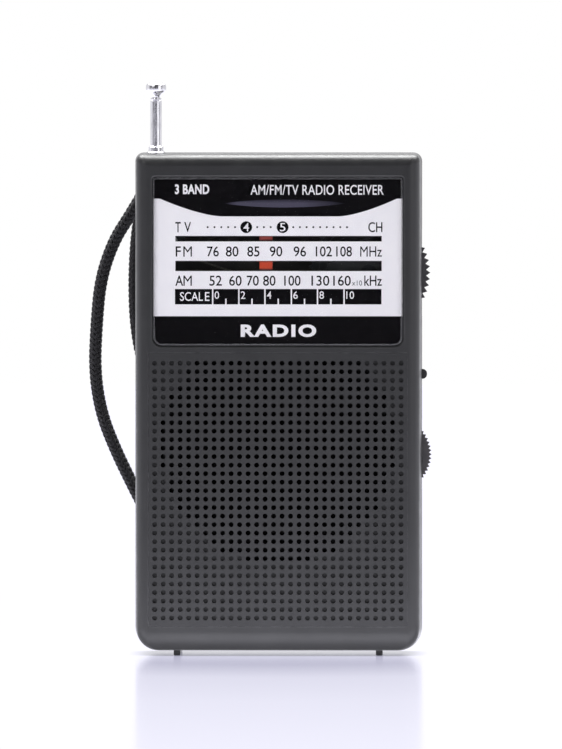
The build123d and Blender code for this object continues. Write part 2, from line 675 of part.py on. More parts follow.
def battery_leads():
    shelf = BAY_TOP + 1.4
    left = [(-26.0, 5.2, shelf), (-26.0, 5.2, 52.0), (-24.5, 5.4, 72.0), (-24.5, BOARD_Y1, 72.0)]
    right = [(22.0, 5.6, shelf), (22.0, 5.6, 37.5), (18.0, 5.6, 40.5), (18.0, 5.5, 44.5)]
    right.append((18.0, BOARD_Y1, 44.5))
    return joined([wire_run(points, 0.5, 0.7) for points in (left, right)])


def speaker_leads():
    leads = []
    for x in (8.0, 10.5):
        points = [(x, -6.3, 69.5), (x, -2.0, 71.5), (x, -0.5, 75.0), (x, BOARD_Y0, 75.0)]
        leads.append(wire_run(points, 0.5, 0.7))
    return joined(leads)


# ---- the antenna --------------------------------------------------------------------------------
TUBE_CLEARANCE = 0.08
BASE_TOP = TOP + 0.2
SECOND_TOP, THIRD_TOP = TOP + 1.5, TOP + 12.85


def tube(r, inner_r, z0, z1):
    whole = rod_z(ANTENNA_X, 0, r, z0, z1) - rod_z(ANTENNA_X, 0, inner_r, z0 - 1, z1 + 1)
    rim = whole.edges().filter_by(GeomType.CIRCLE).group_by(Axis.Z)[-1].sort_by(SortBy.RADIUS)[-1:]
    return chamfer(rim, 0.2)


def antenna_base_tube():
    return tube(BASE_R, SECOND_R + TUBE_CLEARANCE, ANTENNA_BOTTOM, BASE_TOP)


def antenna_second_tube():
    return tube(SECOND_R, THIRD_R + TUBE_CLEARANCE, ANTENNA_BOTTOM + 2, SECOND_TOP)


def antenna_third_tube():
    return tube(THIRD_R, ROD_R + TUBE_CLEARANCE, ANTENNA_BOTTOM + 13, THIRD_TOP)


def antenna_rod():
    return rod_z(ANTENNA_X, 0, ROD_R, ANTENNA_BOTTOM + 15, THIRD_TOP + 0.05)


def antenna_tip():
    """Turned knob: a thin collar, a flared neck and a low dome."""
    base = THIRD_TOP + 0.05
    profile = [
        (0, base),
        (1.1, base),
        (1.1, base + 0.6),
        (1.45, base + 1.0),
        (1.75, base + 1.6),
        (2.5, base + 2.0),
        (2.5, base + 3.4),
        (2.3, base + 3.95),
        (1.8, base + 4.3),
        (1.0, base + 4.5),
        (0, base + 4.55),
    ]
    return turned_z(profile, ANTENNA_X, 0)


def antenna_clamp():
    """Spring clip round the base tube, with a tab soldered to the board."""
    x, z0, z1 = ANTENNA_X, 72.0, 78.0
    ring = rod_z(x, 0, 2.85, z0, z1) + block(x + 1.5, x + 6.5, 1.3, BOARD_Y0, z0, z1)
    return ring - rod_z(x, 0, BASE_R, z0 - 1, z1 + 1)


# ---- wrist strap --------------------------------------------------------------------------------
SLEEVE_TOP, SLEEVE_END, SLEEVE_Y = (-31.4, 117.2), (-33.6, 112.4), 17.4
STRAND_Y = (15.6, 19.2)
STRAP_ROUTE = [
    (SLEEVE_END[0], STRAND_Y[0], SLEEVE_END[1]),
    (-37.0, 15.8, 106.6),
    (-41.2, 16.4, 100.2),
    (-44.5, 17.0, 90.6),
    (-45.5, 17.2, 79.5),
    (-46.0, 17.2, 68.0),
    (-44.4, 17.2, 57.5),
    (-40.9, 17.2, 48.5),
    (-36.8, 17.2, 40.0),
    (-32.8, 17.2, 32.2),
    (-27.4, 17.2, 24.4),
    (-21.2, 17.2, 17.8),
    (-14.0, 17.2, 14.2),
    (-6.1, 17.2, 15.4),
    (-0.4, 17.2, 21.1),
    (0.8, 17.2, 29.0),
    (-2.8, 17.2, 36.2),
    (-9.6, 17.4, 43.6),
    (-17.4, 17.4, 50.2),
    (-25.0, 17.6, 56.4),
    (-31.0, 17.8, 63.0),
    (-34.4, 18.0, 71.0),
    (-35.9, 18.2, 80.2),
    (-36.2, 18.6, 90.0),
    (-35.8, 19.0, 99.2),
    (-34.9, 19.1, 106.4),
    (SLEEVE_END[0], STRAND_Y[1], SLEEVE_END[1]),
]


def route_radii(route):
    """Each bend as wide as its two runs allow: 0.45 of the shorter, over tan of half the turn."""
    radii = []
    for before, here, after in zip(route, route[1:], route[2:]):
        run_in, run_out = Vector(*here) - Vector(*before), Vector(*after) - Vector(*here)
        turn = radians(run_in.get_angle(run_out))
        radii.append(0.45 * min(run_in.length, run_out.length) / tan(turn / 2))
    return radii


def strap_cord():
    radii = route_radii(STRAP_ROUTE)
    path = FilletPolyline(*STRAP_ROUTE, radius=radii)
    start = Plane(origin=STRAP_ROUTE[0], z_dir=Vector(*STRAP_ROUTE[1]) - Vector(*STRAP_ROUTE[0]))
    strap = sweep(start * Circle(STRAP_D / 2), path=path)
    length = path.length
    full = pi * (STRAP_D / 2) ** 2 * length
    print("strap length", round(length, 1), "smallest bend", round(min(radii), 1))
    print("strap volume over section times length", round(strap.volume / full, 4))
    return strap


def strap_pin():
    return rod_z(PIN_X, PIN_Y, PIN_R, PIN_Z0 + 0.05, PIN_Z1 - 0.05)


def strap_ferrule():
    """Flat eye on the pin, and the crimped sleeve that holds both ends of the strap."""
    z0, z1 = 114.7, 116.9
    end_x, end_y = -31.8, 16.6
    reach = sqrt((end_x - PIN_X) ** 2 + (end_y - PIN_Y) ** 2)
    lean = atan2(end_y - PIN_Y, end_x - PIN_X) * 180 / pi
    bar = Pos(PIN_X, PIN_Y, (z0 + z1) / 2) * Rot(0, 0, lean) * Pos(reach / 2, 0, 0)
    eye = rod_z(PIN_X, PIN_Y, 1.6, z0, z1) + bar * Box(reach, 3.2, z1 - z0)
    eye = eye - rod_z(PIN_X, PIN_Y, PIN_R + 0.08, z0 - 1, z1 + 1)
    run_x, run_z = SLEEVE_TOP[0] - SLEEVE_END[0], SLEEVE_TOP[1] - SLEEVE_END[1]
    sleeve = Box(4.0, 7.4, sqrt(run_x**2 + run_z**2))
    sleeve = fillet(sleeve.edges().filter_by(Axis.Z), 1.8)
    middle_x, middle_z = SLEEVE_END[0] + run_x / 2, SLEEVE_END[1] + run_z / 2
    tilt = atan2(run_x, run_z) * 180 / pi
    return eye + Pos(middle_x, SLEEVE_Y, middle_z) * Rot(0, tilt, 0) * sleeve


# ---- fasteners and small metal parts ------------------------------------------------------------
def case_screws():
    """Four screws driven from the back into the front shell's bosses."""
    screws = []
    for x, z in CASE_SCREWS:
        screw = rod_y(x, z, 0.95, -8.5, 9.4) + rod_y(x, z, 1.85, 9.4, 10.9)
        for a, b in ((1.1, 0.25), (0.25, 1.1)):
            screw = screw - block(x - a, x + a, 10.4, 12.0, z - b, z + b)
        screws.append(screw)
    return joined(screws)


def pointer_rail():
    return rod_x(RAIL_Y, RAIL_Z, RAIL_R, -31.0, 31.0)


PIECES = [
    front_shell, rear_shell, speaker_grille, foot_ribs, battery_door,
    dial_lens, dial_scale_plate, dial_pointer, pointer_rail, dial_cord, idler_pulley, idler_pin,
    tuning_wheel, tuning_drum, tuning_shaft, tuning_screw, tuning_capacitor,
    volume_wheel, volume_shaft, volume_screw, volume_control, band_switch_body, band_switch_knob,
    circuit_board, board_screws, receiver_chip, if_transformers, electrolytic_capacitors,
    resistors, ceramic_capacitors, air_coils, ferrite_rod, ferrite_coil, ferrite_clips,
    earphone_jack,
    speaker_gasket, speaker_frame, speaker_surround, speaker_cone, speaker_dust_cap, voice_coil,
    speaker_magnet, speaker_yoke, speaker_clamps,
    battery_cells, battery_contacts, battery_springs, battery_leads, speaker_leads,
    antenna_base_tube, antenna_second_tube, antenna_third_tube, antenna_rod, antenna_tip,
    antenna_clamp,
    strap_cord, strap_pin, strap_ferrule, case_screws,
]  # fmt: skip

os.makedirs("parts", exist_ok=True)
for piece in PIECES:
    keep(piece.__name__, piece())
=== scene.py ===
"""Transistor pocket radio: looks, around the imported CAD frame. Lengths are in metres."""
import json
import math

import bmesh
import bpy
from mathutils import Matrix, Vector


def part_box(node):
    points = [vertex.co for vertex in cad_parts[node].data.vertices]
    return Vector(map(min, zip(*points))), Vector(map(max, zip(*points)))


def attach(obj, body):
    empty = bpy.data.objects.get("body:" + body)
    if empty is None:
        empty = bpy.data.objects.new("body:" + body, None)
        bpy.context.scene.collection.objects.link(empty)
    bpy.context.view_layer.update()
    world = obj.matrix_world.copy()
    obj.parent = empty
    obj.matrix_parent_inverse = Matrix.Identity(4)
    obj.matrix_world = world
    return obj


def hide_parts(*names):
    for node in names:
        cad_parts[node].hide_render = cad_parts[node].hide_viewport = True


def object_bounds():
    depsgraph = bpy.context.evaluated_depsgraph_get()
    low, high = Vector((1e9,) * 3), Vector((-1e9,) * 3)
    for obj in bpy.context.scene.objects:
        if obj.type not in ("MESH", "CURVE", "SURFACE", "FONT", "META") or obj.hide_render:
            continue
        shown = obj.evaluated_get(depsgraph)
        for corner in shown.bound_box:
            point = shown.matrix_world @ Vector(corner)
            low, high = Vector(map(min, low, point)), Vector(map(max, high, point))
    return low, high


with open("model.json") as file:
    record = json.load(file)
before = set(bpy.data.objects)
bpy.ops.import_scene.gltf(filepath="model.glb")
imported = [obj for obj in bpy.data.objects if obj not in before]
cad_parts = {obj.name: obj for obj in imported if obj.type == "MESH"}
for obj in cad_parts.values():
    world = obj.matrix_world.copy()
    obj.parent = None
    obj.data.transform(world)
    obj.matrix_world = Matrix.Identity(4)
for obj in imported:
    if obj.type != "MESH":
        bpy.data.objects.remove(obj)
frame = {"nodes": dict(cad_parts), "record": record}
cad_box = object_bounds()

MM = 0.001
shell_low, shell_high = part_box("front_shell")
CASE_MID_X = (shell_low.x + shell_high.x) / 2
DATUM_ABOVE_UNDERSIDE = 0.7
DATUM_Z = shell_low.z + DATUM_ABOVE_UNDERSIDE * MM


def at(x, y, z):
    """A point given in the case's own millimetres: x from its middle, z from its height datum."""
    return Vector((CASE_MID_X + x * MM, y * MM, DATUM_Z + z * MM))


def at_all(points):
    return [at(*p) for p in points]


# ---- the camera -------------------------------------------------------------------------------
# the camera looks at VIEW_CENTRE and sees VIEW_HEIGHT metres from top to bottom there
SENSOR = 36.0
VIEW_HEIGHT = 0.1833
CAMERA_DISTANCE = 2.25
CAMERA_AZIMUTH, CAMERA_ELEVATION = math.radians(0.95), math.radians(1.2)
VIEW_CENTRE = at(0.78, -13.5, 67.6)

camera_data = bpy.data.cameras.new("camera")
camera_data.sensor_fit = "AUTO"
camera_data.sensor_width = SENSOR
camera_data.lens = SENSOR * CAMERA_DISTANCE / VIEW_HEIGHT
camera_data.clip_start, camera_data.clip_end = 0.02, 20.0
camera = bpy.data.objects.new("camera", camera_data)
bpy.context.scene.collection.objects.link(camera)
away = Vector(
    (
        math.sin(CAMERA_AZIMUTH) * math.cos(CAMERA_ELEVATION),
        -math.cos(CAMERA_AZIMUTH) * math.cos(CAMERA_ELEVATION),
        math.sin(CAMERA_ELEVATION),
    )
)
camera.location = VIEW_CENTRE + away * CAMERA_DISTANCE
camera.rotation_mode = "QUATERNION"
camera.rotation_quaternion = (-away).to_track_quat("-Z", "Y")
bpy.context.scene.camera = camera


# ---- mesh helpers -----------------------------------------------------------------------------
def new_piece(name, verts, faces, body="root"):
    mesh = bpy.data.meshes.new(name)
    mesh.from_pydata([tuple(v) for v in verts], [], faces)
    mesh.update()
    return enter(name, mesh, body, smooth=True)


def enter(name, mesh, body, smooth):
    """Puts a mesh in the scene as a piece that rides on a body of the frame."""
    piece = bpy.data.objects.new(name, mesh)
    bpy.context.scene.collection.objects.link(piece)
    mesh.polygons.foreach_set("use_smooth", [smooth] * len(mesh.polygons))
    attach(piece, body)
    return piece


def ring_faces(rings, around):
    """Quads between successive rings of `around` points each, with the two ends closed."""
    faces = []
    for r in range(rings - 1):
        for k in range(around):
            a, b = r * around + k, r * around + (k + 1) % around
            faces.append((a, b, b + around, a + around))
    faces.append(tuple(range(around - 1, -1, -1)))
    faces.append(tuple(range((rings - 1) * around, rings * around)))
    return faces


# ---- the wrist strap --------------------------------------------------------------------------
STRAP_ROUTE = [
    (-33.6, 15.6, 112.4), (-37.0, 15.8, 106.6), (-41.2, 16.4, 100.2), (-44.5, 17.0, 90.6),
    (-45.5, 17.2, 79.5), (-46.0, 17.2, 68.0), (-44.4, 17.2, 57.5), (-40.9, 17.2, 48.5),
    (-36.8, 17.2, 40.0), (-32.8, 17.2, 32.2), (-27.4, 17.2, 24.4), (-21.2, 17.2, 17.8),
    (-14.0, 17.2, 14.2), (-6.1, 17.2, 15.4), (-0.4, 17.2, 21.1), (0.8, 17.2, 29.0),
    (-2.8, 17.2, 36.2), (-9.6, 17.4, 43.6), (-17.4, 17.4, 50.2), (-25.0, 17.6, 56.4),
    (-31.0, 17.8, 63.0), (-34.4, 18.0, 71.0), (-35.9, 18.2, 80.2), (-36.2, 18.6, 90.0),
    (-35.8, 19.0, 99.2), (-34.9, 19.1, 106.4), (-33.6, 19.2, 112.4),
]  # fmt: skip
STRANDS_EACH_WAY = 8
BRAID_PITCH = 10.4 * MM
BRAID_MID_R, BRAID_WAVE = 1.22 * MM, 0.16 * MM
STRAND_HALF_WIDTH, STRAND_HALF_DEPTH = 0.46 * MM, 0.25 * MM
STRAND_SIDES, CORE_SIDES = 6, 10
BRAID_CORE_R = BRAID_MID_R - 0.1 * MM
WAVE_SQUARENESS = 0.7
STEPS_PER_POINT = 28


def nurbs_points(points, steps):
    """The points that Blender gives for an order 3 NURBS spline with these control points."""
    curve = bpy.data.curves.new("route", "CURVE")
    curve.dimensions = "3D"
    curve.resolution_u = steps
    spline = curve.splines.new("NURBS")
    spline.points.add(len(points) - 1)
    for point, co in zip(spline.points, points):
        point.co = (*co, 1.0)
    spline.order_u = 3
    spline.use_endpoint_u = True
    holder = bpy.data.objects.new("route", curve)
    mesh = bpy.data.meshes.new_from_object(holder)
    found = [v.co.copy() for v in mesh.vertices]
    bpy.data.objects.remove(holder)
    bpy.data.curves.remove(curve)
    bpy.data.meshes.remove(mesh)
    return found


def frames_along(points):
    """Tangent, side and up at each point, turned as little as possible from one to the next."""
    tangents = []
    for i in range(len(points)):
        a, b = points[max(i - 1, 0)], points[min(i + 1, len(points) - 1)]
        tangents.append((b - a).normalized())
    side = tangents[0].orthogonal().normalized()
    frames = []
    for tangent in tangents:
        side = (side - tangent * side.dot(tangent)).normalized()
        frames.append((tangent, side, tangent.cross(side)))
    return frames


def braided_cord(points):
    """A core and sixteen flat strands, each passing over two and under two of the others."""
    frames = frames_along(points)
    waves = STRANDS_EACH_WAY / 2
    run = [0.0]
    for a, b in zip(points, points[1:]):
        run.append(run[-1] + (b - a).length)
    verts, faces = [], []

    def add_tube(centres, axes, half_u, half_v, around):
        """A closed tube with an oval section, whose two axes are given at each centre."""
        base = len(verts)
        for centre, (u, v) in zip(centres, axes):
            for k in range(around):
                a = 2 * math.pi * k / around
                verts.append(centre + u * (half_u * math.cos(a)) + v * (half_v * math.sin(a)))
        faces.extend(tuple(base + i for i in face) for face in ring_faces(len(centres), around))

    add_tube(points, [(f[1], f[2]) for f in frames], BRAID_CORE_R, BRAID_CORE_R, CORE_SIDES)
    for way in (1, -1):
        for strand in range(STRANDS_EACH_WAY):
            start = 2 * math.pi * strand / STRANDS_EACH_WAY
            centres, outs = [], []
            for point, s, (_, side, up) in zip(points, run, frames):
                angle = start + way * 2 * math.pi * s / BRAID_PITCH
                lift = math.sin(waves * angle)
                lift = way * math.copysign(abs(lift) ** WAVE_SQUARENESS, lift)
                out = side * math.cos(angle) + up * math.sin(angle)
                centres.append(point + out * (BRAID_MID_R + BRAID_WAVE * lift))
                outs.append(out)
            axes = []
            for i, out in enumerate(outs):
                a, b = centres[max(i - 1, 0)], centres[min(i + 1, len(centres) - 1)]
                across = (b - a).normalized().cross(out).normalized()
                axes.append((across, out))
            add_tube(centres, axes, STRAND_HALF_WIDTH, STRAND_HALF_DEPTH, STRAND_SIDES)
    return verts, faces


strap_line = nurbs_points(at_all(STRAP_ROUTE), STEPS_PER_POINT)
strap_verts, strap_faces = braided_cord(strap_line)
strap = new_piece("strap_braid", strap_verts, strap_faces)
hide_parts("strap_cord")


# ---- materials --------------------------------------------------------------------------------
def tone(r, g, b):
    """A colour given as 0-255 screen values, as the linear values that shaders take."""
    linear = []
    for c in (r / 255, g / 255, b / 255):
        linear.append(c / 12.92 if c <= 0.04045 else ((c + 0.055) / 1.055) ** 2.4)
    return (*linear, 1.0)


SPARK_GRAIN, SPARK_DEPTH = 0.22, 0.012
HOLLOW_SHADE_BLACK = tone(14, 14, 15)


class Look:
    """One Principled material, with short calls for its procedural nodes."""

    def __init__(self, name, colour, roughness, **sockets):
        self.material = bpy.data.materials.new(name)
        self.material.use_nodes = True
        self.nodes = self.material.node_tree.nodes
        self.shader = self.nodes["Principled BSDF"]
        self.shader.inputs["Base Color"].default_value = colour
        self.shader.inputs["Roughness"].default_value = roughness
        for socket, value in sockets.items():
            self.shader.inputs[socket.replace("_", " ")].default_value = value
        self.material.diffuse_color = colour
        self.where = self.add("ShaderNodeTexCoord").outputs["Object"]

    def add(self, kind, **inputs):
        node = self.nodes.new(kind)
        for name, value in inputs.items():
            self.put(node.inputs[name.replace("_", " ")], value)
        return node

    def put(self, socket, value):
        if isinstance(value, bpy.types.NodeSocket):
            self.material.node_tree.links.new(value, socket)
        else:
            socket.default_value = value

    def stretched(self, x, y, z):
        """Texture coordinates with each axis scaled."""
        node = self.add("ShaderNodeMapping", Vector=self.where)
        node.inputs["Scale"].default_value = (x, y, z)
        return node.outputs["Vector"]

    def noise(self, size, detail=2.0, where=None):
        """Noise whose blotches are about `size` millimetres."""
        scale = 1.0 / (size * MM)
        where = where or self.where
        node = self.add("ShaderNodeTexNoise", Scale=scale, Detail=detail, Vector=where)
        return node.outputs["Fac"]

    def cells(self, size):
        """Distance to the nearest of points about `size` millimetres apart."""
        node = self.add("ShaderNodeTexVoronoi", Scale=1.0 / (size * MM), Vector=self.where)
        return node.outputs["Distance"]

    def remap(self, value, low, high, to_low=0.0, to_high=1.0):
        """value, where low becomes to_low and high becomes to_high, with no overshoot."""
        ends = {"From_Min": low, "From_Max": high, "To_Min": to_low, "To_Max": to_high}
        return self.add("ShaderNodeMapRange", Value=value, **ends).outputs["Result"]

    def along(self, axis, start, end, to_start=0.0, to_end=1.0):
        """A ramp over the case's own x or z, in millimetres, from `start` to `end`."""
        place = self.add("ShaderNodeSeparateXYZ", Vector=self.where).outputs[axis]
        low, high = (at(v, 0, v)["XYZ".index(axis)] for v in (start, end))
        return self.remap(place, low, high, to_start, to_end)

    def calculate(self, operation, a, b):
        node = self.nodes.new("ShaderNodeMath")
        node.operation = operation
        self.put(node.inputs[0], a)
        self.put(node.inputs[1], b)
        return node.outputs[0]

    def sum(self, a, b):
        return self.calculate("ADD", a, b)

    def product(self, a, b):
        return self.calculate("MULTIPLY", a, b)

    def blend(self, factor, a, b):
        """A colour between a and b."""
        node = self.nodes.new("ShaderNodeMix")
        node.data_type = "RGBA"
        self.put(node.inputs[0], factor)
        self.put(node.inputs[6], a)
        self.put(node.inputs[7], b)
        return node.outputs[2]

    def colour(self, factor, a, b):
        """The base colour, between a and b by factor. Either may come from an earlier call."""
        mixed = self.blend(factor, a, b)
        self.put(self.shader.inputs["Base Color"], mixed)
        return mixed

    def roughness(self, factor, low, high):
        """Roughness between low and high, by a noise."""
        self.put(self.shader.inputs["Roughness"], self.remap(factor, 0.3, 0.7, low, high))

    def bump(self, height, depth, strength=1.0):
        """Relief of `depth` millimetres, on top of any that is there already."""
        node = self.add("ShaderNodeBump", Height=height, Distance=depth * MM, Strength=strength)
        previous = self.shader.inputs["Normal"].links
        if previous:
            self.put(node.inputs["Normal"], previous[0].from_socket)
        self.put(self.shader.inputs["Normal"], node.outputs["Normal"])

    def edges(self, radius):
        """1 on edges sharper than `radius` millimetres, 0 on flat faces."""
        soft = self.add("ShaderNodeBevel", Radius=radius * MM)
        soft.samples = 4
        plain = self.add("ShaderNodeNewGeometry").outputs["Normal"]
        dot = self.nodes.new("ShaderNodeVectorMath")
        dot.operation = "DOT_PRODUCT"
        self.put(dot.inputs[0], soft.outputs["Normal"])
        self.put(dot.inputs[1], plain)
        return self.remap(dot.outputs["Value"], 1.0, 0.75)


def moulded(name, light, dark, wear_and_highlight, roughness, wear_and_highlight_r=0.35, hollow_shade=0.0, **sockets):
    """Moulded plastic: spark-eroded texture, faint mottling, and edges worn smoother and painted
    paler, as wear and as a painted highlight.

    Narrow hollows get painted shade: they are painted darker by the given amount.
    """
    look = Look(name, light, roughness, IOR=1.49, **sockets)
    base = look.colour(look.remap(look.noise(7.0, 3.0), 0.35, 0.65), light, dark)
    edge = look.edges(wear_and_highlight_r)
    # wear and painted highlight: the edges are painted paler
    rub_and_highlight = look.product(edge, look.remap(look.noise(1.7, 4.0), 0.3, 0.62))
    shade = look.colour(rub_and_highlight, base, wear_and_highlight)
    if hollow_shade:
        # painted shade: narrow hollows are painted towards black, where they would lie in shade
        hollow_shade_ao = look.add("ShaderNodeAmbientOcclusion", Distance=1.2 * MM)
        hollow_shade_ao.samples = 8
        look.colour(look.remap(hollow_shade_ao.outputs["AO"], 0.94, 0.55, 0.0, hollow_shade), shade, HOLLOW_SHADE_BLACK)
    spread = look.remap(look.noise(2.3, 3.0), 0.3, 0.7, roughness - 0.05, roughness + 0.05)
    look.put(look.shader.inputs["Roughness"], look.sum(spread, look.remap(edge, 0, 1, 0, -0.1)))
    look.bump(look.sum(look.noise(SPARK_GRAIN), look.cells(SPARK_GRAIN * 1.4)), SPARK_DEPTH)
    return look


def metal(name, colour, dull, roughness, lines=(1, 1, 1), size=0.3, depth=0.004):
    """Bare metal, tarnished in patches; `lines` draws the polishing marks out along an axis."""
    look = Look(name, colour, roughness, Metallic=1.0)
    lay = look.stretched(*lines)
    look.colour(look.remap(look.noise(3.5, 5.0), 0.45, 0.7), colour, dull)
    look.roughness(look.noise(size, 4.0, lay), roughness * 0.6, roughness * 1.5)
    look.bump(look.noise(size, 4.0, lay), depth)
    return look


def plain(name, light, dark, roughness, size=2.0, grain=0.3, depth=0.01, **sockets):
    """A mottled, lightly grained surface."""
    look = Look(name, light, roughness, **sockets)
    look.colour(look.remap(look.noise(size, 4.0), 0.35, 0.65), light, dark)
    look.roughness(look.noise(size * 0.6, 3.0), roughness * 0.85, roughness * 1.15)
    look.bump(look.noise(grain, 3.0), depth)
    return look


CASE_LIGHT, CASE_DARK = tone(38, 38, 39), tone(35, 35, 36)
CASE_GLOSS = {"roughness": 0.38, "Specular_IOR_Level": 0.4}
# the fourth colour of each moulded plastic is its edges' wear and painted highlight
case_look = moulded("case_plastic", CASE_LIGHT, CASE_DARK, tone(74, 74, 75), **CASE_GLOSS)
# the grille's holes and dimples get painted shade, and its edges a painted highlight
grille_look = moulded(
    "grille_plastic", CASE_LIGHT, CASE_DARK, tone(68, 68, 69),
    wear_and_highlight_r=0.15, hollow_shade=0.95, **CASE_GLOSS,
)  # fmt: skip
black_look = moulded("black_plastic", tone(26, 26, 27), tone(22, 22, 23), tone(48, 48, 50), 0.36)
wheel_look = moulded("wheel_plastic", tone(58, 55, 57), tone(48, 46, 48), tone(92, 88, 90), 0.42)
white_look = plain("white_nylon", tone(226, 223, 212), tone(214, 210, 196), 0.45)
chrome_look = metal(
    "chrome", tone(228, 227, 232), tone(212, 211, 216), 0.2, (1, 1, 0.06), size=0.12, depth=0.0006
)
steel_look = metal("steel", tone(172, 173, 175), tone(134, 135, 138), 0.34)
dark_steel_look = metal("blackened_steel", tone(52, 52, 54), tone(38, 38, 40), 0.4)
brass_look = metal("brass", tone(222, 186, 110), tone(190, 150, 82), 0.26)
copper_look = metal("copper", tone(205, 122, 76), tone(176, 92, 54), 0.24, size=0.2)
ferrite_look = plain("ferrite", tone(66, 66, 68), tone(52, 52, 54), 0.62, depth=0.02)
paper_look = plain(
    "paper", tone(58, 56, 54), tone(44, 43, 42), 0.85, size=1.2, grain=0.18, depth=0.04
)
foam_look = plain(
    "foam", tone(40, 40, 41), tone(28, 28, 29), 0.92, size=0.8, grain=0.25, depth=0.08
)
wire_look = plain("wire_jacket", tone(186, 34, 28), tone(164, 26, 22), 0.4)
thread_look = plain(
    "thread", tone(96, 92, 82), tone(74, 70, 62), 0.75, size=0.5, grain=0.08, depth=0.03
)
board_look = plain("board", tone(52, 42, 34), tone(42, 34, 28), 0.5, size=4.0)
component_look = plain("component", tone(196, 150, 92), tone(178, 130, 74), 0.35)
battery_look = plain("battery_jacket", tone(44, 92, 150), tone(36, 78, 132), 0.3, depth=0.004)
chip_look = plain("chip_black", tone(30, 30, 32), tone(24, 24, 26), 0.55, size=1.0, grain=0.12)

# painted shade: the pointer's two flags are painted darker towards their slots' rims, where the
# rims shade them; the upper one is painted a paler, duller orange
ORANGE_LIGHT, ORANGE_DARK, ORANGE_UPPER_SHADED = tone(216, 70, 26), tone(204, 58, 22), tone(196, 74, 60)
pointer_look = plain("pointer_orange", ORANGE_LIGHT, ORANGE_DARK, 0.35, depth=0.003)
mottled = pointer_look.remap(pointer_look.noise(2.0, 4.0), 0.35, 0.65)
orange = pointer_look.blend(mottled, ORANGE_LIGHT, ORANGE_DARK)
lower_rim_shade = pointer_look.along("Z", 95.4, 94.8, 0.45, 1.0)
lower_sill_shade = pointer_look.along("Z", 93.2, 93.7)
lower_light = pointer_look.product(lower_rim_shade, lower_sill_shade)
lower_flag = pointer_look.blend(lower_light, tone(52, 20, 16), orange)
upper_rim_shade = pointer_look.along("Z", 101.65, 101.25)
upper_sill_shade = pointer_look.along("Z", 100.4, 100.8, 0.0, 0.62)
upper_light = pointer_look.product(upper_rim_shade, upper_sill_shade)
upper_flag = pointer_look.blend(upper_light, tone(60, 20, 16), ORANGE_UPPER_SHADED)
pointer_look.colour(pointer_look.along("Z", 98.0, 99.0), lower_flag, upper_flag)

strap_look = Look("strap", tone(14, 13, 15), 0.75, Sheen_Weight=0.12, Sheen_Roughness=0.4)
strap_look.shader.inputs["Sheen Tint"].default_value = tone(150, 150, 156)
strap_fibres = strap_look.noise(0.09, 3.0, strap_look.stretched(1, 1, 0.45))
strap_look.colour(strap_look.remap(strap_fibres, 0.35, 0.7), tone(5, 4, 7), tone(17, 14, 19))
strap_look.bump(strap_fibres, 0.05)

lens_look = Look("clear_plastic", (1, 1, 1, 1), 0.015, IOR=1.49)
lens_look.shader.inputs["Transmission Weight"].default_value = 1.0
lens_look.bump(lens_look.noise(9.0, 1.0), 0.01, strength=0.25)
# light reaches the dial through it as through a plain window
clear = lens_look.add("ShaderNodeBsdfTransparent", Color=(0.95, 0.95, 0.96, 1))
lens_ray = lens_look.add("ShaderNodeLightPath")
lens_mix = lens_look.add("ShaderNodeMixShader", Fac=lens_ray.outputs["Is Shadow Ray"])
lens_look.put(lens_mix.inputs[1], lens_look.shader.outputs["BSDF"])
lens_look.put(lens_mix.inputs[2], clear.outputs["BSDF"])
lens_look.put(lens_look.nodes["Material Output"].inputs["Surface"], lens_mix.outputs["Shader"])

# the rim's sloping band, painted light grey as a painted highlight
bevel_highlight_look = plain("clear_plastic_bevel", tone(104, 103, 106), tone(92, 91, 95), 0.22, depth=0.002)

LOOKS = {
    "case_plastic": case_look, "black_plastic": black_look, "wheel_plastic": wheel_look,
    "white_nylon": white_look, "clear_plastic": lens_look, "pointer_orange": pointer_look,
    "thread": thread_look, "chrome": chrome_look, "steel": steel_look, "brass": brass_look,
    "board": board_look, "component": component_look, "copper": copper_look,
    "ferrite": ferrite_look, "paper": paper_look, "foam": foam_look,
    "battery_jacket": battery_look, "wire_jacket": wire_look, "strap": strap_look,
}  # fmt: skip
OWN_LOOKS = {"receiver_chip": chip_look, "speaker_grille": grille_look}
OWN_LOOKS |= dict.fromkeys(("tuning_screw", "pointer_rail", "speaker_clamps"), dark_steel_look)


def paint(node, look):
    """Gives a piece this look alone."""
    slots = node.data.materials
    slots.clear()
    slots.append(look.material)


for row in frame["record"]["subparts"]:
    name = row["node"]
    paint(frame["nodes"][name], OWN_LOOKS.get(name) or LOOKS[row["material_slot"]])
paint(strap, strap_look)


# ---- the dial's print -------------------------------------------------------------------------
INK = 0.012
PLATE_FRONT = -12.2
LAYER_1, LAYER_2, LAYER_3 = (PLATE_FRONT - k * INK for k in range(3))
SAME_POINT = 1e-7


def ink(name, light, dark):
    """Print behind the lens, which has no gloss of its own."""
    return plain(name, light, dark, 0.85, size=4.0, depth=0.001, Specular_IOR_Level=0.05)


paper_white = ink("dial_white", tone(251, 249, 252), tone(248, 246, 250))
ink_black = ink("dial_black", tone(14, 12, 15), tone(11, 10, 13))
ink_dots = ink("dial_dot_grey", tone(58, 56, 60), tone(52, 50, 54))
ink_grey = ink("dial_grey", tone(88, 86, 90), tone(80, 78, 82))
# painted reflection: a slate streak, painted to fade at its ends and towards its top
slate_reflection = ink("dial_slate_reflection", tone(78, 76, 92), tone(70, 68, 84))
left_end, right_end = slate_reflection.along("X", -13.1, -10), slate_reflection.along("X", 16.4, 6)
upper_side = slate_reflection.along("Z", 110.6, 109.5)
reflection_fade = slate_reflection.product(slate_reflection.product(left_end, right_end), upper_side)
slate_reflection.colour(reflection_fade, tone(24, 23, 29), tone(82, 79, 96))
paint(frame["nodes"]["dial_scale_plate"], ink_black)


